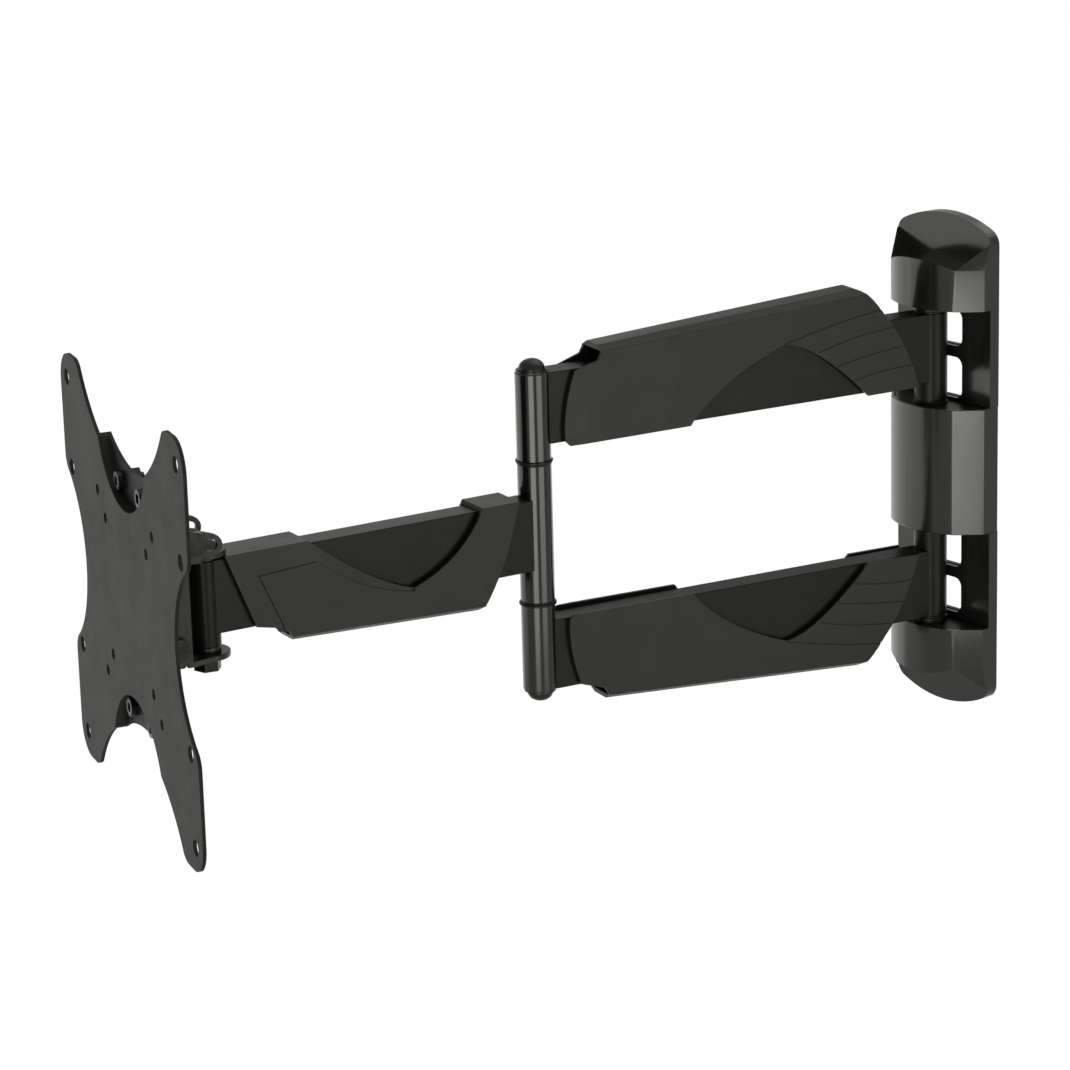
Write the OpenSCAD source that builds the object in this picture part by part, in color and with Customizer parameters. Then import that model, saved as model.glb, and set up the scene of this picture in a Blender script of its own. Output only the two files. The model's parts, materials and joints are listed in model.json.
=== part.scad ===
// Full motion wall mount for a flat screen: wall plate, double swing arm,
// forearm, swivelling and tilting head, and a screen plate.
// Frame: wall plane at y = 0, the mount reaches toward -Y, +Z is up and +X is
// to the right of a person facing the wall. The origin is the middle of the wall plate's back.

/* [Wall side] */
// Width of the wall covers
wall_w = 73; // [68:1:80]
// Height of the wall covers over all
wall_h = 291; // [280:1:310]
// Depth of the flat rim of the wall covers
rim_d = 7; // [6.5:0.5:7.5]
// Distance from the wall to the front of the hoods
hood_d = 31.5; // [31:0.5:34]
// Distance from the wall to the wall hinge axis
hinge_y = 17.5; // [17.5:0.5:19]
// Thickness of the steel sheet of the wall plate and its brackets
sheet = 3; // [2.5:0.5:3]
// Wall thickness of the plastic covers
shell = 2.2; // [1.8:0.1:2.4]
// Wall screw spacing across
screw_x = 40; // [36:1:44]
// Wall screw spacing up and down
screw_z = 262; // [258:1:264]
// Wall screw hole diameter
screw_d = 8.5; // [7:0.5:9]

/* [Arms] */
// Height of the rectangular arm tubes
arm_h = 40; // [38:1:42]
// Width of the rectangular arm tubes
arm_w = 15; // [14:0.5:15]
// Wall thickness of the rectangular arm tubes
arm_t = 1.5; // [1.2:0.1:2]
// Height of the upper arm above the middle, and of the lower arm below it
arm_z = 70; // [70:0.5:71]
// Wall hinge axis to elbow axis
link_l = 257; // [255:1:262]
// Elbow axis to head axis
fore_l = 202; // [200:1:206]
// Width of the plastic arm covers
cover_w = 23; // [22:0.5:23]

/* [Pivots] */
// Outside diameter of the hinge and elbow tubes
post_d = 19; // [18:0.5:19]
// Outside diameter of the head tube
head_d = 16; // [16:0.5:17]
// Diameter of the pivot bolts
bolt_d = 8; // [7:0.5:8]
// Radial running clearance of the pivots
run = 0.05; // [0.03:0.01:0.08]

/* [Screen plate] */
// Width of the screen plate
plate_w = 225; // [222:1:232]
// Height of the screen plate
plate_h = 227; // [222:1:232]
// Thickness of the screen plate
plate_t = 2; // [2:0.5:3]
// Head axis to the front face of the screen plate
plate_x = 40.5; // [40:0.5:42]
// Depth of the two dished recesses
dish_d = 6; // [5.5:0.5:6.5]
// Diameter of the eight outer screw holes
vesa_big = 9; // [8.5:0.5:9]
// Diameter of the eight inner screw holes
vesa_small = 6; // [5:0.5:6]

/* [Pose] */
// Swing of the arms from straight out
swing = -12.5; // [-15:0.5:15]
// Bend at the elbow
elbow = 3; // [-10:0.5:10]
// Turn of the head on the forearm
pan = -9; // [-15:0.5:15]

/* [Hidden] */
$fn = 64;

steel = [0.13, 0.13, 0.125];
tube_black = [0.1, 0.1, 0.1];
plastic = [0.2, 0.2, 0.19];
plate_grey = [0.27, 0.27, 0.26];
nylon = [0.06, 0.06, 0.06];
zinc = [0.55, 0.56, 0.57];

eps = 0.5;
play = 0.1;
bush_od = post_d - 4;
head_bush_od = 12;
bore_d = bolt_d + 2 * run;

// Heights of the wall hinge and elbow stacks
arm_top = arm_z + arm_h / 2;
flange_t = 1;
mid_lug_z = 36.5;
knuckle_z0 = mid_lug_z + 0.9 + play + flange_t;
top_lug_z = arm_top + 4;
post_gap = 41;
mid_post = 39;

// Wall side outline
wall_top = wall_h / 2;
flank_y = 12;
corner = [25.5, 24];
arch_r = (pow(corner[0], 2) + pow(hood_d - corner[1], 2)) / (2 * (hood_d - corner[1]));
crown = 10;
crown_r = (pow(wall_w / 2, 2) + pow(crown, 2)) / (2 * crown);
hood_z = top_lug_z;
mid_cover_z = 37;
scoop_z = 117.7;
scoop_lean = 0.76;
lip_rise = 0.66;
wing_lean = 12;
window_x = 14.5;
window_z = [[38.5, 62.5], [69, 90]];

// Head stack
head_tube_z = [-27, 20];
yoke_in = 14;
yoke_out = 17;
web_x = 12.5;
top_lug = [22.3, 25.3];
low_lug = [-33.2, -30.2];
tilt_at = [21, -21];
lock_at = [10, 35];
tilt_up = 5;
tilt_down = 10;
tilt_r = norm(lock_at - tilt_at);
tilt_a = atan2(lock_at[1] - tilt_at[1], lock_at[0] - tilt_at[0]);
flange_in = 17.3;
flange_out = 19.8;
pin_d = 6;

// Screen plate outline
dish_z = 97;
dish_r = 46;
floor_x = plate_x - dish_d - plate_t;
plate_bolt = [19.5, 62];

// A point on a curve from a to c that bends toward b
function bend(a, b, c, n = 10) = [for (i = [0:n])
    let (t = i / n) a * pow(1 - t, 2) + 2 * b * t * (1 - t) + c * t * t];

// ---------- placement of the moving groups ----------
module at_link() translate([0, -hinge_y, 0]) rotate(swing - 90) children();
module at_fore() at_link() translate([link_l, 0, 0]) rotate(elbow) children();
module at_head() at_fore() translate([fore_l, 0, 0]) rotate(pan) children();
module both_z() { children(); mirror([0, 0, 1]) children(); }
module both_y() { children(); mirror([0, 1, 0]) children(); }
module both_x() { children(); mirror([1, 0, 0]) children(); }

// ---------- small repeated shapes ----------
module ring(od, id, z0, z1) translate([0, 0, z0]) difference() {
    cylinder(d = od, h = z1 - z0);
    translate([0, 0, -eps]) cylinder(d = id, h = z1 - z0 + 2 * eps);
}

module rod(d, z0, z1) translate([0, 0, z0]) cylinder(d = d, h = z1 - z0);

// A flanged bush whose flange lies on top of z and whose sleeve hangs below
module bush(od, flange_d, t, len) difference() {
    union() {
        rod(flange_d, 0, t);
        rod(od, -len, 0);
    }
    rod(bore_d, -len - eps, t + eps);
}

module hex_nut(af, hole, z0, z1) difference() {
    translate([0, 0, z0]) cylinder(d = af / cos(30), h = z1 - z0, $fn = 6);
    rod(hole, z0 - eps, z1 + eps);
}

module socket_head(d, h, key) difference() {
    rod(d, 0, h);
    translate([0, 0, h - h * 0.6]) cylinder(d = key / cos(30), h = h, $fn = 6);
}

module box_at(x0, x1, y0, y1, z0, z1) translate([x0, y0, z0]) cube([x1 - x0, y1 - y0, z1 - z0]);

// Extrudes an outline drawn in length and height sideways from y0 to y1
module side(y0, y1) translate([0, y1, 0]) rotate([90, 0, 0]) linear_extrude(y1 - y0) children();

// Extrudes an outline drawn across and up forward from x0 to x1
module front(x0, x1) translate([x0, 0, 0]) rotate([90, 0, 90]) linear_extrude(x1 - x0) children();

// Extrudes an outline drawn in x and z from the wall outward, y0 to y1
module facing(y0, y1) translate([0, -y0, 0]) rotate([90, 0, 0]) linear_extrude(y1 - y0) children();

// ---------- wall side ----------
// Front outline of the wall covers: domed ends with round shoulders
module wall_outline(inset = 0) offset(delta = -inset) offset(r = 9) offset(delta = -9)
intersection() {
    square([wall_w, wall_h], center = true);
    hull() for (s = [-1, 1]) translate([0, s * (wall_top - crown_r)]) circle(crown_r, $fn = 160);
}

// Plan of a hood: straight flanks, slanted facets and an arched front
module arch_plan(inset = 0) intersection() {
    difference() {
        offset(delta = -inset) polygon([[-wall_w / 2, inset], [-wall_w / 2, -flank_y], -corner,
            [-corner[0], -hood_d - 5], [corner[0], -hood_d - 5], [corner[0], -corner[1]],
            [wall_w / 2, -flank_y], [wall_w / 2, inset]]);
        translate([-wall_w, 0]) square(2 * wall_w);
    }
    translate([0, arch_r - hood_d]) circle(arch_r - inset, $fn = 128);
}

module windows(half_w) for (z = window_z)
    facing(-eps, rim_d + eps) offset(r = 5) offset(delta = -5)
        translate([-half_w, z[0]]) square([2 * half_w, z[1] - z[0]]);

module wall_screw_places() for (x = [-1, 1], z = [-1, 1])
    translate([x * screw_x / 2, 0, z * screw_z / 2]) rotate([90, 0, 0]) children();

module wall_plate() color(steel) difference() {
    facing(0, sheet) wall_outline(shell + 0.4);
    both_z() windows(window_x - 2);
    wall_screw_places() translate([0, 0, -eps]) cylinder(d = screw_d, h = sheet + 2 * eps);
}

// Flat lug that follows the arch of the hoods
module lug(z0, z1) difference() {
    translate([0, 0, z0]) linear_extrude(z1 - z0) intersection() {
        arch_plan(shell + 0.4);
        translate([-wall_w, -hood_d]) square([2 * wall_w, hood_d - sheet]);
    }
    translate([0, -hinge_y, 0]) rod(bore_d, z0 - eps, z1 + eps);
}

module end_bracket() {
    lug(top_lug_z, top_lug_z + sheet);
    back_z = top_lug_z + sheet;
    box_at(-28, 28, -2 * sheet, -sheet, back_z - eps, back_z + 5);
    both_x() translate([25, -sheet, back_z]) rotate([0, 90, 0]) linear_extrude(sheet)
        polygon([[eps, 0], [eps, -15], [0, -15], [-5, -3], [-5, 0]]);
}

module top_hinge_bracket() color(steel) end_bracket();
module bottom_hinge_bracket() color(steel) mirror([0, 0, 1]) end_bracket();

module middle_hinge_bracket() color(steel) {
    both_z() lug(mid_lug_z - sheet, mid_lug_z);
    box_at(-30, 30, -2 * sheet, -sheet, sheet - mid_lug_z, mid_lug_z - sheet);
}

// Space scooped out of the top of a hood: a level floor that rises to a lip in
// front and to a ramp on each side
module scoop(grow) intersection() {
    facing(rim_d - grow, 2 * hood_d) offset(delta = grow) offset(r = 3) offset(delta = -3)
        polygon([[-corner[0], scoop_z], [corner[0], scoop_z],
            [corner[0] + 40 * scoop_lean, scoop_z + 40], [-corner[0] - 40 * scoop_lean, scoop_z + 40]]);
    translate([-wall_w, 0, 0]) rotate([90, 0, 90]) linear_extrude(2 * wall_w) offset(delta = grow)
        polygon([[-rim_d, scoop_z], [-corner[1], scoop_z],
            [-corner[1] - 20, scoop_z + 20 * lip_rise], [-corner[1] - 20, wall_h], [-rim_d, wall_h]]);
}

// Solid of one end hood before it is hollowed
module hood_solid(inset, z0) difference() {
    intersection() {
        translate([0, 0, z0]) linear_extrude(wall_top - z0) arch_plan(inset);
        facing(-eps, hood_d + eps) wall_outline(inset);
    }
    scoop(inset);
    both_x() translate([corner[0], -corner[1], scoop_z])
        rotate([0, 0, atan2(corner[1] - flank_y, wall_w / 2 - corner[0])])
        rotate([-wing_lean, 0, 0]) box_at(0, 40, -30, inset, 0, 40);
}

module end_cover() difference() {
    union() {
        hood_solid(0, hood_z);
        intersection() {
            facing(0, rim_d) wall_outline();
            box_at(-wall_w, wall_w, -hood_d, 0, mid_cover_z, wall_h);
        }
    }
    hood_solid(shell, hood_z - eps);
    intersection() {
        facing(-eps, rim_d - shell) wall_outline(shell);
        box_at(-wall_w, wall_w, -hood_d, eps, mid_cover_z - eps, wall_h);
    }
    windows(window_x);
    box_at(-wall_w / 2 + shell, wall_w / 2 - shell, -rim_d - eps, -sheet,
        top_lug_z - play, hood_z + eps);
}

module top_wall_cover() color(plastic) end_cover();
module bottom_wall_cover() color(plastic) mirror([0, 0, 1]) end_cover();

module middle_wall_cover() color(plastic) difference() {
    translate([0, 0, -mid_cover_z]) linear_extrude(2 * mid_cover_z) arch_plan();
    translate([0, 0, -mid_cover_z - eps]) linear_extrude(2 * mid_cover_z + 2 * eps) {
        arch_plan(shell);
        translate([-wall_w / 2 + shell, -2]) square([wall_w - 2 * shell, 3]);
    }
}

module hinge_bolt() translate([0, -hinge_y, 0]) {
    translate([0, 0, top_lug_z + sheet]) socket_head(13, 6, 5);
    rod(bolt_d, mid_lug_z - sheet - 9, top_lug_z + sheet);
}

module upper_hinge_bolt() color(zinc) hinge_bolt();
module lower_hinge_bolt() color(zinc) mirror([0, 0, 1]) hinge_bolt();

module hinge_nuts() color(zinc) both_z() translate([0, -hinge_y, 0])
    hex_nut(13, bolt_d, mid_lug_z - sheet - 7, mid_lug_z - sheet);

module hinge_washers() color(zinc) both_z() translate([0, -hinge_y, 0]) {
    ring(post_d + 1, bolt_d, mid_lug_z, mid_lug_z + 0.9);
    ring(post_d + 1, bolt_d, arm_top + flange_t + play, top_lug_z);
}

// ---------- upper and lower arm ----------
// Rectangular tube coped round the tubes at both of its ends
module box_tube(length, start_d, end_d) difference() {
    box_at(0, length, -arm_w / 2, arm_w / 2, -arm_h / 2, arm_h / 2);
    box_at(-eps, length + eps, arm_t - arm_w / 2, arm_w / 2 - arm_t, arm_t - arm_h / 2, arm_h / 2 - arm_t);
    rod(start_d, -arm_h, arm_h);
    translate([length, 0, 0]) rod(end_d, -arm_h, arm_h);
}

module arm_tube() at_link() translate([0, 0, arm_z]) box_tube(link_l, post_d, post_d);
module wall_knuckle() at_link() ring(post_d, bush_od, knuckle_z0, arm_top);
module end_post() at_link() translate([link_l, 0, 0]) ring(post_d, bush_od, post_gap, arm_top);

module upper_arm_tube() color(tube_black) arm_tube();
module lower_arm_tube() color(tube_black) mirror([0, 0, 1]) arm_tube();
module upper_wall_knuckle() color(tube_black) wall_knuckle();
module lower_wall_knuckle() color(tube_black) mirror([0, 0, 1]) wall_knuckle();
module upper_post_tube() color(tube_black) end_post();
module lower_post_tube() color(tube_black) mirror([0, 0, 1]) end_post();

module hinge_bushings() color(nylon) both_z() at_link() {
    translate([0, 0, arm_top]) bush(bush_od, post_d, flange_t, 12);
    translate([0, 0, knuckle_z0]) mirror([0, 0, 1]) bush(bush_od, post_d, flange_t, 12);
}

module elbow_bolt() color(zinc) at_link() translate([link_l, 0, 0]) rod(bolt_d, -arm_top - 1, arm_top + 1);

module elbow_washers() color(zinc) both_z() at_link() translate([link_l, 0, 0])
    ring(post_d + 1.8, bolt_d, mid_post + 0.9 + play, post_gap);

// Domed cap with a collar and a plug that fills the end of the post
module post_caps() color(nylon) both_z() at_link() translate([link_l, 0, arm_top]) difference() {
    rotate_extrude() {
        translate([0, -14]) square([bush_od / 2, 14]);
        square([post_d / 2 - 0.6, 1.2]);
        translate([0, 1.2]) square([7.8, 0.8]);
        intersection() {
            translate([0, 2]) scale([1, 0.74]) circle(7.2);
            translate([0, 2]) square([8, 8]);
        }
    }
    rod(bolt_d, -14 - eps, 1);
}

// ---------- arm covers ----------
// Each cover is drawn beside its tube: x runs along the arm, y is height away
// from the tube's middle toward the closed side of the cover.
skin = 2;
seam_y = 6.5;
bevel_w = 5;
bevel_a = 31;
saddle_edge = -arm_h / 2 - 2;

link_cover = concat(
    [[15, saddle_edge + 1.5]],
    bend([18.5, -10], [28, 14], [38, 24.5], 6),
    bend([38, 24.5], [49.5, 40.5], [56, 41], 8),
    [[219.5, 31], [220, 27], [222, 23.5], [236.5, 19]],
    bend([236.5, 19], [244, -1], [243, -19], 6),
    [[240, saddle_edge]]);
link_cut = concat(
    [[172, saddle_edge - 9]],
    bend([163, -19], [143, 3], [104, 16.5], 8),
    bend([104, 16.5], [84, 14], [50, -20], 8),
    [[40, saddle_edge - 9]]);

fore_cover = concat(
    [[16.5, saddle_edge - 0.2]],
    bend([20, -10], [26, 12], [37, 29.5], 6),
    [[41.5, 36], [155, 31.5], [159, 25], [164.5, 24.5], [166, 22], [177.5, 19.5]],
    [[194, saddle_edge - 0.2]]);
fore_cut = concat(
    [[38.7, saddle_edge - 9]],
    bend([39.5, saddle_edge], [52, 4], [83, 14.7], 8),
    bend([83, 14.7], [108, 8], [145, saddle_edge], 8),
    [[145, saddle_edge - 9]]);

// Crest point and slope of each cover's closed side, and its cable mouths
link_crest = [219.5, 31];
link_slope = atan2(10, 163.5);
link_mouths = [[200, 250, 17, 28.2, cover_w / 2 - skin], [20, 60, 22, 31, seam_y]];
link_lines = [[[40, 28], [70, 24.5], [105, 16]], [[30, 17], [58, 15.5], [82, 8.5]],
    [[24, 5], [49, 3.5], [70, -1.2]], [[19, -7], [38, -6.5], [59, -11]]];
fore_crest = [41.5, 36];
fore_slope = atan2(4.5, 113.5);
fore_mouths = [[150, 200, 17, 28.4, cover_w / 2 - skin], [20, 50, 21, 31, seam_y]];

// Side faces turn inward at the post end, past a line that leans back
flare_x = 225.8;
flare_lean = -12.4;
flare_in = 0.07;

// Low border round the raised panel on the near side of the forearm cover
border_depth = 0.8;
border = concat(
    bend([83, 16.5], [114, 12], [141, -10], 8),
    [[175, -8], [162, 21], [160, 45], [200, 45], [200, -45], [83, -45]]);

// Solid between the side faces, with the edges of its closed side bevelled.
// crest is a point on the closed side and slope is how steeply it falls along x.
module saddle_solid(half_w, crest, slope) difference() {
    side(-half_w, half_w) children();
    both_y() translate([crest[0], half_w - bevel_w, crest[1]]) rotate([0, slope, 0])
        rotate([-bevel_a, 0, 0]) box_at(-300, 300, -40, 40, 0, 30);
}

// Wedges shaved off both side faces at the post end
module end_flare() both_y() translate([flare_x, cover_w / 2, 0]) rotate([0, flare_lean, 0])
    linear_extrude(100, center = true) polygon([[0, 0], [30, 1], [30, -30 * flare_in]]);

// Both halves of one arm's cover as one shell. outline and cut are drawings,
// crest and slope as above, mouths lists [x0, x1, z0, z1, half width] of the
// cable openings.
module cover_shell(outline, cut, crest, slope, mouths, open_back) difference() {
    union() {
        difference() {
            saddle_solid(cover_w / 2, crest, slope) polygon(outline);
            saddle_solid(cover_w / 2 - skin, crest - [0, skin], slope)
                offset(delta = -skin) polygon(outline);
            if (open_back)
                box_at(-eps, 400, skin - cover_w / 2, cover_w / 2 - skin,
                    saddle_edge - eps, skin - arm_h / 2);
        }
        both_y() for (x = [outline[0][0] + 18, outline[0][0] + 165])
            box_at(x, x + 3, arm_w / 2, cover_w / 2 - skin / 2, -14, -2);
    }
    side(-cover_w, cover_w) polygon(cut);
    box_at(-eps, 400, -arm_w / 2, arm_w / 2, -arm_h / 2, arm_h / 2);
    for (m = mouths)
        box_at(m[0], m[1], -m[4], m[4], m[2], m[3]);
}

// The half of a cover on the near or far side of the seam
module half(near) intersection() {
    children();
    if (near) box_at(-50, 400, seam_y, 50, -100, 100);
    else box_at(-50, 400, -50, seam_y, -100, 100);
}

// Shallow curved lines pressed into the wall end of a link cover's sides
module grip_lines() both_y() side(cover_w / 2 - 0.5, cover_w) for (line = link_lines)
    let (low = bend(line[0], line[1], line[2], 6), width = [0, 1.1])
        for (i = [0:len(low) - 2])
            polygon([low[i], low[i + 1], low[i + 1] + width, low[i] + width]);

module link_shell() difference() {
    cover_shell(link_cover, link_cut, link_crest, link_slope, link_mouths, true);
    grip_lines();
    end_flare();
}

module fore_shell() difference() {
    cover_shell(fore_cover, fore_cut, fore_crest, fore_slope, fore_mouths, false);
    side(cover_w / 2 - border_depth, cover_w) polygon(border);
}

module link_half(near) color(plastic) at_link() translate([0, 0, arm_z]) half(near) link_shell();

module upper_cover_near() link_half(true);
module upper_cover_far() link_half(false);
module lower_cover_near() mirror([0, 0, 1]) link_half(true);
module lower_cover_far() mirror([0, 0, 1]) link_half(false);

// ---------- forearm ----------
module forearm_tube() color(tube_black) at_fore() box_tube(fore_l, post_d, head_d);
module middle_post_tube() color(tube_black) at_fore() ring(post_d, bush_od, -mid_post, mid_post);
module head_tube() color(tube_black) at_fore() translate([fore_l, 0, 0])
    ring(head_d, head_bush_od, head_tube_z[0], head_tube_z[1]);

module elbow_bushings() color(nylon) both_z() at_fore() translate([0, 0, mid_post])
    bush(bush_od, post_d + 1, 0.9, 12);

module head_bushings() color(nylon) at_fore() translate([fore_l, 0, 0]) {
    translate([0, 0, head_tube_z[1]])
        bush(head_bush_od, head_d - 0.5, top_lug[0] - head_tube_z[1] - play, 12);
    translate([0, 0, head_tube_z[0]]) mirror([0, 0, 1])
        bush(head_bush_od, head_d - 0.5, head_tube_z[0] - low_lug[1] - play, 12);
}

module forearm_cover_near() color(plastic) at_fore() mirror([0, 0, 1]) half(true) fore_shell();
module forearm_cover_far() color(plastic) at_fore() mirror([0, 0, 1]) half(false) fore_shell();

// ---------- head ----------
// A rod across the head from y0 to y1 at a place given as forward and up
module cross_rod(at, d, y0, y1, sides = 64) translate([at[0], y0, at[1]]) rotate([-90, 0, 0])
    cylinder(d = d, h = y1 - y0, $fn = sides);

module yoke_lug(z) difference() {
    translate([0, 0, z[0]]) linear_extrude(z[1] - z[0]) {
        circle(12.5);
        polygon([[0, 12.5], [0, -12.5], [web_x, -yoke_out], [web_x, yoke_out]]);
    }
    rod(bore_d, z[0] - eps, z[1] + eps);
}

// Ear on one side of the yoke, round about a cross bolt
module yoke_ear(at, r, base) difference() {
    side(yoke_in, yoke_out) {
        translate(at) circle(r);
        polygon(base);
    }
    cross_rod(at, pin_d + 2 * run, yoke_in - eps, yoke_out + eps);
}

module head_yoke() color(steel) at_head() {
    yoke_lug(top_lug);
    yoke_lug(low_lug);
    box_at(web_x, web_x + sheet, -yoke_out, yoke_out, low_lug[0], top_lug[1]);
    both_y() {
        yoke_ear(lock_at, 6.5, [[3.5, 25.3], [15.5, 25.3], [16.5, 35], [3.5, 35]]);
        yoke_ear(tilt_at, 6.5, [[14, -31], [21, -27.5], [21, -14.5], [14, -11]]);
        side(yoke_in, yoke_out) polygon([[5, 22.3], [14, 22.3], [14, 26], [5, 26]]);
    }
}

module pan_bolt() color(zinc) at_head() {
    rod(bolt_d, low_lug[0] - 8, top_lug[1]);
    translate([0, 0, top_lug[1]]) rotate_extrude() intersection() {
        translate([0, -7.5]) circle(13);
        square([9.5, 6]);
    }
}

module pan_washer() color(zinc) at_head() ring(17, bolt_d, low_lug[0] - 1.4, low_lug[0]);
module pan_nut() color(zinc) at_head() hex_nut(13, bolt_d, low_lug[0] - 7.4, low_lug[0] - 1.4);

module tilt_bolt() color(zinc) at_head() {
    cross_rod(tilt_at, pin_d, -flange_out - 7, flange_out + 1.2);
    cross_rod(tilt_at, 12, flange_out + 1.2, flange_out + 4);
}

module tilt_nut() color(zinc) at_head() difference() {
    cross_rod(tilt_at, 11.5, -flange_out - 6, -flange_out - 1.2, 6);
    cross_rod(tilt_at, pin_d, -flange_out - 7, -flange_out);
}

module lock_bolt() color(zinc) at_head() {
    cross_rod(lock_at, pin_d, -flange_out - 7, flange_out + 1.2);
    cross_rod(lock_at, 13, flange_out + 1.2, flange_out + 5);
}

module lock_nut() color(zinc) at_head() difference() {
    cross_rod(lock_at, 11.5, -flange_out - 6, -flange_out - 1.2, 6);
    cross_rod(lock_at, pin_d, -flange_out - 7, -flange_out);
}

module tilt_friction_washers() color(nylon) at_head() both_y() for (at = [tilt_at, lock_at])
    difference() {
        cross_rod(at, 13, flange_out + play, flange_out + 1.2);
        cross_rod(at, pin_d, flange_out, flange_out + 2);
    }

// Outline of a slot of width w that follows a circle of radius r from angle a0 to a1
function arc_slot(r, w, a0, a1, n = 8) = concat(
    [for (i = [0:n]) let (a = a0 + (a1 - a0) * i / n) (r + w / 2) * [cos(a), sin(a)]],
    [for (i = [1:n - 1]) r * [cos(a1), sin(a1)] + w / 2 * [cos(a1 + 180 * i / n), sin(a1 + 180 * i / n)]],
    [for (i = [n:-1:0]) let (a = a0 + (a1 - a0) * i / n) (r - w / 2) * [cos(a), sin(a)]],
    [for (i = [1:n - 1]) r * [cos(a0), sin(a0)] - w / 2 * [cos(a0 + 180 * i / n), sin(a0 + 180 * i / n)]]);

// Plate beside the yoke that carries the lock bolt's curved slot and the tilt bolt's bore
module tilt_flange() difference() {
    side(flange_in, flange_out) difference() {
        union() {
            polygon([[floor_x - 1, 38], [floor_x - 1, -32], [18, -32], [15, -28], [15, 32], [21, 41]]);
            translate(tilt_at) polygon(arc_slot(tilt_r, 12, tilt_a - tilt_up - 5, tilt_a + tilt_down));
        }
        translate(tilt_at) polygon(arc_slot(tilt_r, pin_d + 0.4, tilt_a - tilt_up, tilt_a + tilt_down));
    }
    cross_rod(tilt_at, pin_d + 2 * run, flange_in - eps, flange_out + eps);
}

module plate_bolt_places() for (y = [-1, 1], z = [-1, 1]) translate([0, y * plate_bolt[0], z * plate_bolt[1]])
    rotate([0, 90, 0]) children();

module tilt_bracket() color(steel) at_head() {
    both_y() tilt_flange();
    difference() {
        front(floor_x - plate_t, floor_x) {
            square([2 * flange_out, 136], center = true);
            for (z = [-1, 1]) translate([0, z * 59]) square([54, 18], center = true);
        }
        plate_bolt_places() rod(pin_d + 2 * run, 0, plate_x);
    }
}

// ---------- screen plate ----------
// Outline of the plate: four lobes, waisted sides, notched top and bottom
module plate_outline() offset(r = -5) offset(delta = 5) offset(r = 11) offset(delta = -11) difference() {
    offset(r = 17) square([plate_w - 34, plate_h - 34], center = true);
    for (s = [-1, 1]) translate([s * (plate_w / 2 + 25), 0]) circle(55.5, $fn = 96);
    for (s = [-1, 1]) scale([1, s]) {
        polygon([[-37, 78], [-46, 82], [-59.5, 94], [-73, 110], [-76, 130],
            [76, 130], [73, 110], [59.5, 94], [46, 82], [37, 78]]);
        translate([0, 164.5]) circle(94.5, $fn = 160);
    }
}

module dish_discs(r) for (s = [-1, 1]) translate([0, s * dish_z]) circle(r, $fn = 96);

module vesa_places() {
    for (x = [-100, 100], z = [-100, -50, 50, 100]) translate([x, z]) circle(d = vesa_big);
    for (s = [37.5, 50], x = [-s, s], z = [-s, s]) translate([x, z]) circle(d = vesa_small);
}

module screen_plate() color(plate_grey) at_head() difference() {
    union() {
        front(plate_x - plate_t, plate_x) difference() {
            plate_outline();
            dish_discs(dish_r);
        }
        front(floor_x, plate_x - plate_t) intersection() {
            plate_outline();
            difference() {
                dish_discs(dish_r + plate_t);
                dish_discs(dish_r);
            }
        }
        front(floor_x, floor_x + plate_t) intersection() {
            plate_outline();
            dish_discs(dish_r + eps);
        }
    }
    front(floor_x - eps, plate_x + eps) vesa_places();
    plate_bolt_places() rod(pin_d + 2 * run, floor_x - eps, plate_x);
}

module plate_bolts() color(zinc) at_head() plate_bolt_places() {
    rod(pin_d, floor_x - 9, floor_x + plate_t);
    translate([0, 0, floor_x + plate_t]) socket_head(10, 4, 5);
}

module plate_nuts() color(zinc) at_head() plate_bolt_places()
    hex_nut(10, pin_d, floor_x - plate_t - 5, floor_x - plate_t);

wall_plate();
top_hinge_bracket();
middle_hinge_bracket();
bottom_hinge_bracket();
top_wall_cover();
middle_wall_cover();
bottom_wall_cover();
upper_hinge_bolt();
lower_hinge_bolt();
hinge_nuts();
hinge_washers();
upper_arm_tube();
upper_wall_knuckle();
upper_post_tube();
lower_arm_tube();
lower_wall_knuckle();
lower_post_tube();
hinge_bushings();
elbow_bolt();
elbow_washers();
post_caps();
upper_cover_near();
upper_cover_far();
lower_cover_near();
lower_cover_far();
forearm_tube();
middle_post_tube();
head_tube();
elbow_bushings();
head_bushings();
forearm_cover_near();
forearm_cover_far();
head_yoke();
pan_bolt();
pan_nut();
pan_washer();
tilt_bolt();
tilt_nut();
lock_bolt();
lock_nut();
tilt_bracket();
tilt_friction_washers();
screen_plate();
plate_bolts();
plate_nuts();
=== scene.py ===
"""The finished look of the full motion wall mount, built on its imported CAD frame.

Metres, in the frame's own axes: the wall plane is y = 0, the mount reaches toward -Y, +Z is up.
"""
import json
import math

import bpy
from mathutils import Matrix, Vector

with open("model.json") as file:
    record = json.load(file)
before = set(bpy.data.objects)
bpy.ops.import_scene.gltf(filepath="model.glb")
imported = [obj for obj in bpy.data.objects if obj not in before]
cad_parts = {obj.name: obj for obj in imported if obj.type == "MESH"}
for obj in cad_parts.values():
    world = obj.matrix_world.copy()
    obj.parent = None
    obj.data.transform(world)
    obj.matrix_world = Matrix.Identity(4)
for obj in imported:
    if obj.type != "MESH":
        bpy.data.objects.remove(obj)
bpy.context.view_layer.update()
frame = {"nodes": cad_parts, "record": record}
MM = 0.001
RANGE_SOCKETS = ("From Min", "From Max", "To Min", "To Max")

# ---------------------------------------------------------------- camera
CAMERA_AT = Vector((1.53137, -1.59523, 0.60233))
CAMERA_AZIMUTH = math.radians(50.12)
CAMERA_DOWN = math.radians(16.29)
CAMERA_ROLL = math.radians(1.57)
CAMERA_LENS = 132.5
SENSOR = 36.0


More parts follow.
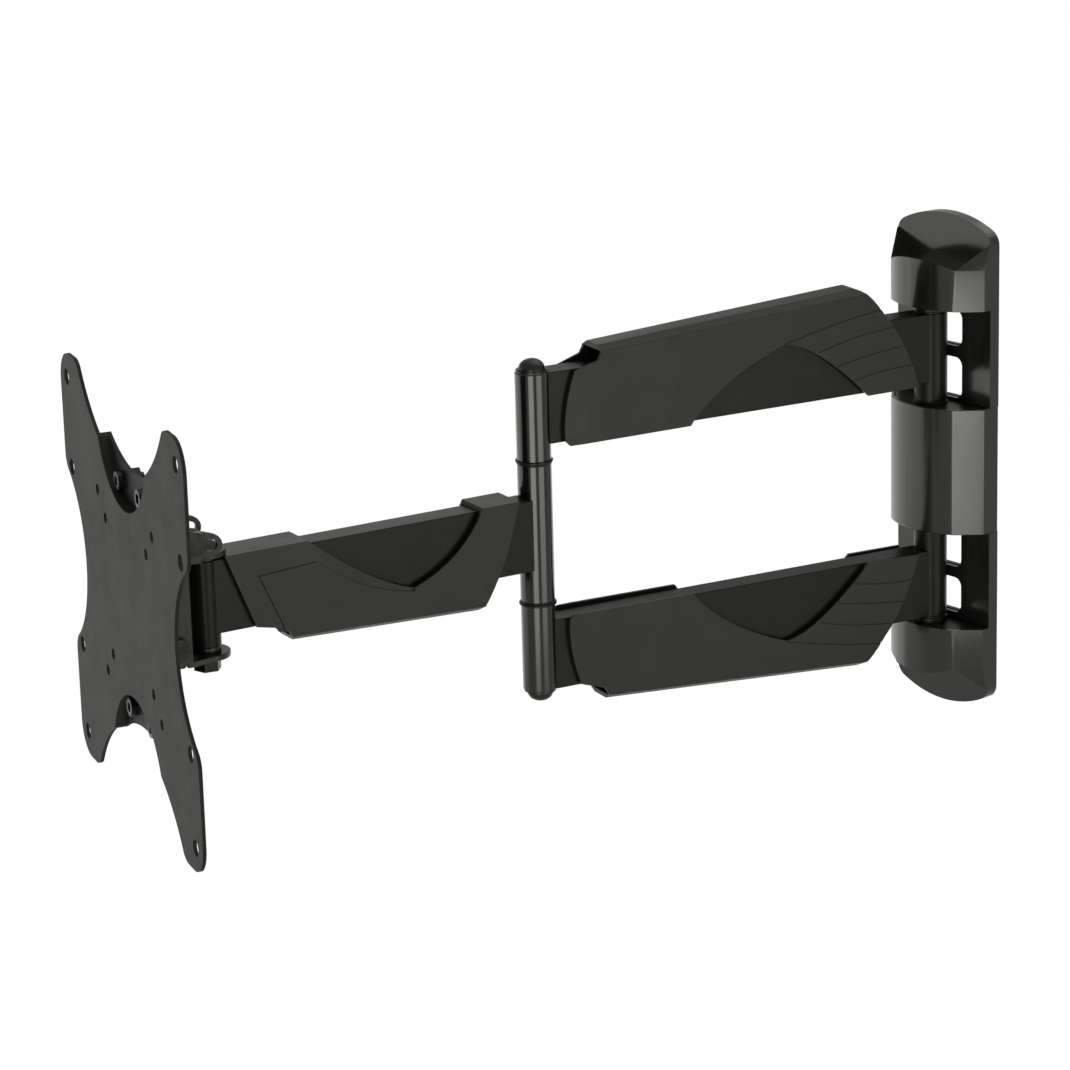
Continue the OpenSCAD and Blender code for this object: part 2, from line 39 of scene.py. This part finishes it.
def make_camera():
    """A long lens at the height and side that shows the screen plate, both arms and the wall covers."""
    ahead = Vector((-math.sin(CAMERA_AZIMUTH) * math.cos(CAMERA_DOWN),
                    math.cos(CAMERA_AZIMUTH) * math.cos(CAMERA_DOWN),
                    -math.sin(CAMERA_DOWN)))
    level = ahead.cross(Vector((0, 0, 1))).normalized()
    down = ahead.cross(level)
    right = math.cos(CAMERA_ROLL) * level + math.sin(CAMERA_ROLL) * down
    up = math.sin(CAMERA_ROLL) * level - math.cos(CAMERA_ROLL) * down
    data = bpy.data.cameras.new("camera")
    data.lens = CAMERA_LENS
    data.sensor_width = SENSOR
    data.clip_end = 60
    camera = bpy.data.objects.new("camera", data)
    bpy.context.scene.collection.objects.link(camera)
    axes = Matrix((right, up, -ahead)).transposed().to_4x4()
    camera.matrix_world = Matrix.Translation(CAMERA_AT) @ axes
    bpy.context.scene.camera = camera


# ---------------------------------------------------------------- stage
FLOOR_Z = -0.9
FLOOR_SIZE = 60
FLOOR_GLOW_DIM = 0.4
FLOOR_GLOW_BRIGHT = 0.97

# Where the paper's painted glow turns from dim to bright, ahead of the mount as the camera looks
PAPER_DIM_UNTIL = 0.75
PAPER_BRIGHT_FROM = 1.15
PAPER_COLOUR = (0.1, 0.1, 0.1, 1)
WHITE = (1, 1, 1, 1)
WORLD_STRENGTH = 0.36
LIT_POINT = (-0.02, -0.2, 0)

# Soft lights above: name, place, width, height, watts
SOFT_LIGHTS = (("overhead", (0, 0.7, 2.1), 2.4, 2.4, 12), ("back_strip", (-2.2, 1.2, 0.7), 0.5, 1.6, 1))

# Upright soft panels round the mount: name, compass angle from +X, width, watts
PANEL_REACH = 2.6
PANEL_Z = -0.7
PANEL_HEIGHT = 1.0
PANELS = (("right_panel", 5, 1.7, 11), ("camera_panel", -50, 1.5, 15), ("left_panel", -133, 1.5, 2.6))


def area_light(name, at, width, height, power):
    """A rectangular light that faces the mount."""
    data = bpy.data.lights.new(name, "AREA")
    data.shape = "RECTANGLE"
    data.size, data.size_y = width, height
    data.energy = power
    light = bpy.data.objects.new(name, data)
    light.location = at
    toward = (Vector(LIT_POINT) - Vector(at)).to_track_quat("-Z", "Y")
    light.rotation_euler = toward.to_euler()
    bpy.context.scene.collection.objects.link(light)


def paper():
    """White paper sweep that glows by itself (painted light): an even glow behind the mount and dimmer
    toward the camera's side.
    """
    material = bpy.data.materials.new("paper")
    material.use_nodes = True
    tree = material.node_tree
    shader = tree.nodes["Principled BSDF"]
    place = tree.nodes.new("ShaderNodeTexCoord").outputs["Object"]
    along = tree.nodes.new("ShaderNodeVectorMath")
    along.operation = "DOT_PRODUCT"
    along.inputs[1].default_value = (-math.sin(CAMERA_AZIMUTH), math.cos(CAMERA_AZIMUTH), 0)
    level = tree.nodes.new("ShaderNodeMapRange")
    level.interpolation_type = "SMOOTHSTEP"
    for key, number in zip(RANGE_SOCKETS, (PAPER_DIM_UNTIL, PAPER_BRIGHT_FROM, FLOOR_GLOW_DIM, FLOOR_GLOW_BRIGHT)):
        level.inputs[key].default_value = number
    tree.links.new(place, along.inputs[0])
    tree.links.new(along.outputs["Value"], level.inputs["Value"])
    # Painted light: the paper's emission glows, brighter behind the mount and dimmer toward the camera's
    # side
    tree.links.new(level.outputs["Result"], shader.inputs["Emission Strength"])
    shader.inputs["Base Color"].default_value = PAPER_COLOUR
    shader.inputs["Emission Color"].default_value = WHITE
    shader.inputs["Roughness"].default_value = 1.0
    shader.inputs["Specular IOR Level"].default_value = 0.0
    return material


def make_stage():
    """The glowing paper floor (painted light), the dim room round it, and the lights."""
    mesh = bpy.data.meshes.new("floor")
    h = FLOOR_SIZE / 2
    mesh.from_pydata([(-h, -h, FLOOR_Z), (h, -h, FLOOR_Z), (h, h, FLOOR_Z), (-h, h, FLOOR_Z)],
                     [], [(0, 1, 2, 3)])
    floor = bpy.data.objects.new("floor", mesh)
    bpy.context.scene.collection.objects.link(floor)
    mesh.materials.append(paper())

    world = bpy.data.worlds.new("studio")
    world.use_nodes = True
    world.node_tree.nodes["Background"].inputs["Color"].default_value = WHITE
    world.node_tree.nodes["Background"].inputs["Strength"].default_value = WORLD_STRENGTH
    bpy.context.scene.world = world

    overhead, back_strip = SOFT_LIGHTS
    area_light(*overhead)
    for name, azimuth, width, power in PANELS:
        turn = math.radians(azimuth)
        at = (LIT_POINT[0] + PANEL_REACH * math.cos(turn),
              LIT_POINT[1] + PANEL_REACH * math.sin(turn), PANEL_Z)
        area_light(name, at, width, PANEL_HEIGHT, power)
    area_light(*back_strip)
    bpy.context.scene.view_settings.view_transform = "Standard"
    bpy.context.scene.view_settings.look = "None"


# ---------------------------------------------------------------- materials
class Nodes:
    """Short calls for building a node tree."""

    def __init__(self, name):
        self.material = bpy.data.materials.new(name)
        self.material.use_nodes = True
        self.tree = self.material.node_tree
        self.shader = self.tree.nodes["Principled BSDF"]

    def add(self, kind, **values):
        node = self.tree.nodes.new(kind)
        for key, value in values.items():
            if hasattr(node, key):
                setattr(node, key, value)
            else:
                node.inputs[key.replace("_", " ")].default_value = value
        return node

    def link(self, source, target):
        self.tree.links.new(source, target)

    def place(self):
        """Position on the unmoved piece, in metres, so that a pattern stays on it in every pose."""
        return self.add("ShaderNodeTexCoord").outputs["Object"]

    def noise(self, scale, detail=2.0, rough=0.5):
        at = self.place()
        node = self.add("ShaderNodeTexNoise", Scale=scale, Detail=detail, Roughness=rough)
        self.link(at, node.inputs["Vector"])
        return node.outputs["Fac"]

    def spread(self, value, low, high, to_low=0.0, to_high=1.0):
        node = self.add("ShaderNodeMapRange")
        for key, number in zip(RANGE_SOCKETS, (low, high, to_low, to_high)):
            node.inputs[key].default_value = number
        self.link(value, node.inputs["Value"])
        return node.outputs["Result"]

    def sum(self, a, b, operation="ADD"):
        node = self.add("ShaderNodeMath", operation=operation)
        for socket, value in zip(node.inputs, (a, b)):
            if isinstance(value, (int, float)):
                socket.default_value = value
            else:
                self.link(value, socket)
        return node.outputs["Value"]

    def mix(self, factor, a, b):
        node = self.add("ShaderNodeMix", data_type="RGBA")
        self.link(factor, node.inputs["Factor"])
        for index, value in ((6, a), (7, b)):
            if isinstance(value, tuple):
                node.inputs[index].default_value = (*value, 1)
            else:
                self.link(value, node.inputs[index])
        return node.outputs[2]

    def edges(self, radius):
        """1 along convex and concave edges and 0 on open faces."""
        bevel = self.add("ShaderNodeBevel", samples=4)
        bevel.inputs["Radius"].default_value = radius
        geometry = self.add("ShaderNodeNewGeometry")
        dot = self.add("ShaderNodeVectorMath", operation="DOT_PRODUCT")
        self.link(bevel.outputs["Normal"], dot.inputs[0])
        self.link(geometry.outputs["Normal"], dot.inputs[1])
        return self.spread(dot.outputs["Value"], 0.995, 0.88)

    def bump(self, heights):
        """heights lists (height, strength, distance in metres), coarse to fine."""
        normal = None
        for height, strength, distance in heights:
            node = self.add("ShaderNodeBump", Strength=strength, Distance=distance)
            self.link(height, node.inputs["Height"])
            if normal:
                self.link(normal, node.inputs["Normal"])
            normal = node.outputs["Normal"]
        self.link(normal, self.shader.inputs["Normal"])


WEAR_RADIUS = 0.5 * MM
SHEEN_TINT = (1.0, 1.0, 0.87, 1)
COAT_ROUGHNESS = 0.12


def coated(name, colour, lighter, rough, rough_swing, grain, grain_depth, wave_depth,
           wear=0.35, specular=0.5, coat=0.0):
    """Paint or moulded plastic: fine grain, a slow ripple, cloudy colour, and rubbed edges."""
    n = Nodes(name)
    cloud = n.noise(9, 4, 0.6)
    speck = n.noise(grain, 3, 0.65)
    smear = n.noise(38, 5, 0.7)
    tone = n.mix(n.spread(cloud, 0.3, 0.75), colour, lighter)
    worn = tuple(min(1.0, 2.2 * c + 0.012) for c in lighter)
    rub = n.sum(n.edges(WEAR_RADIUS), n.spread(n.noise(160, 4, 0.75), 0.42, 0.66), "MULTIPLY")
    rub = n.sum(rub, wear, "MULTIPLY")
    n.link(n.mix(rub, tone, worn), n.shader.inputs["Base Color"])
    level = n.spread(smear, 0.3, 0.72, rough - rough_swing, rough + rough_swing)
    level = n.sum(level, n.spread(speck, 0.3, 0.7, -0.03, 0.03))
    n.link(n.sum(level, n.sum(rub, 0.12, "MULTIPLY")), n.shader.inputs["Roughness"])
    n.shader.inputs["Specular IOR Level"].default_value = specular
    n.shader.inputs["Specular Tint"].default_value = SHEEN_TINT
    n.shader.inputs["Coat Weight"].default_value = coat
    n.shader.inputs["Coat Roughness"].default_value = COAT_ROUGHNESS
    n.bump([(n.noise(55, 2, 0.5), 0.35, wave_depth), (speck, 0.5, grain_depth)])
    return n.material


def blackened(name):
    """Black oxide on a turned or forged fastener, with bright rubbed edges."""
    n = Nodes(name)
    cloud = n.noise(120, 4, 0.6)
    tone = n.mix(n.spread(cloud, 0.3, 0.7), (0.012, 0.012, 0.012), (0.035, 0.034, 0.032))
    rub = n.sum(n.edges(0.35 * MM), n.spread(n.noise(420, 3, 0.7), 0.4, 0.62), "MULTIPLY")
    rub = n.sum(rub, 0.55, "MULTIPLY")
    n.link(n.mix(rub, tone, (0.2, 0.195, 0.185)), n.shader.inputs["Base Color"])
    n.link(n.spread(n.noise(260, 4, 0.7), 0.3, 0.7, 0.24, 0.42), n.shader.inputs["Roughness"])
    n.shader.inputs["Metallic"].default_value = 0.75
    n.bump([(n.noise(1500, 2, 0.6), 0.35, 0.03 * MM)])
    return n.material


PAINTS = {
    "black_steel": coated("black_steel", (0.0085, 0.0085, 0.008), (0.012, 0.012, 0.0112), 0.36, 0.04,
                          2600, 0.02 * MM, 0.012 * MM),
    "tube_paint": coated("tube_paint", (0.006, 0.006, 0.0052), (0.009, 0.009, 0.0078), 0.32, 0.03,
                         2200, 0.012 * MM, 0.012 * MM, specular=0.2),
    "post_gloss": coated("post_gloss", (0.004, 0.004, 0.0036), (0.006, 0.006, 0.0054), 0.16, 0.025,
                         1800, 0.004 * MM, 0.008 * MM, coat=0.5),
    "wall_cover_plastic": coated("wall_cover_plastic", (0.011, 0.011, 0.0098), (0.015, 0.015, 0.0134),
                                 0.2, 0.03, 2400, 0.008 * MM, 0.012 * MM, wear=0.25, coat=0.6),
    "arm_cover_plastic": coated("arm_cover_plastic", (0.012, 0.012, 0.0104), (0.016, 0.016, 0.014),
                                0.36, 0.04, 2400, 0.02 * MM, 0.012 * MM, wear=0.25, specular=0.36),
    "black_nylon": coated("black_nylon", (0.006, 0.006, 0.0058), (0.010, 0.010, 0.0096), 0.3, 0.04,
                          1900, 0.015 * MM, 0.012 * MM),
    "plate_powder_coat": coated("plate_powder_coat", (0.017, 0.0167, 0.0152), (0.0215, 0.021, 0.0192),
                                0.5, 0.03, 1700, 0.03 * MM, 0.008 * MM, wear=0.4, specular=0.17),
    "blackened_fastener": blackened("blackened_fastener"),
}

# ---------------------------------------------------------------- CAD nodes
SOFT_EDGE = 0.45 * MM
FINE_EDGE = 0.2 * MM
WELD_GAP = 0.002 * MM
FLAT_WITHIN = math.radians(0.4)
SHARP_OVER = math.radians(32)
SLOTS = {row["node"]: row["material_slot"] for row in frame["record"]["subparts"]}


def dress(name, edge):
    """Gives a CAD node its paint, rounds its sharp edges and smooths its curved faces."""
    node = frame["nodes"][name]
    node.data.materials.clear()
    node.data.materials.append(PAINTS[SLOTS[name]])
    normals = node.data.attributes.get("custom_normal")
    if normals:
        node.data.attributes.remove(normals)
    node.data.shade_smooth()
    weld = node.modifiers.new("join", "WELD")
    weld.merge_threshold = WELD_GAP
    flat = node.modifiers.new("flat", "DECIMATE")
    flat.decimate_type = "DISSOLVE"
    flat.angle_limit = FLAT_WITHIN
    bevel = node.modifiers.new("edge", "BEVEL")
    bevel.width = edge
    bevel.segments = 2
    bevel.limit_method = "ANGLE"
    bevel.angle_limit = SHARP_OVER
    bevel.miter_outer = "MITER_ARC"
    bevel.harden_normals = True
    weighted = node.modifiers.new("shade", "WEIGHTED_NORMAL")
    weighted.keep_sharp = True


make_camera()
make_stage()
for node_name in frame["nodes"]:
    dress(node_name, FINE_EDGE if SLOTS[node_name] == "blackened_fastener" else SOFT_EDGE)
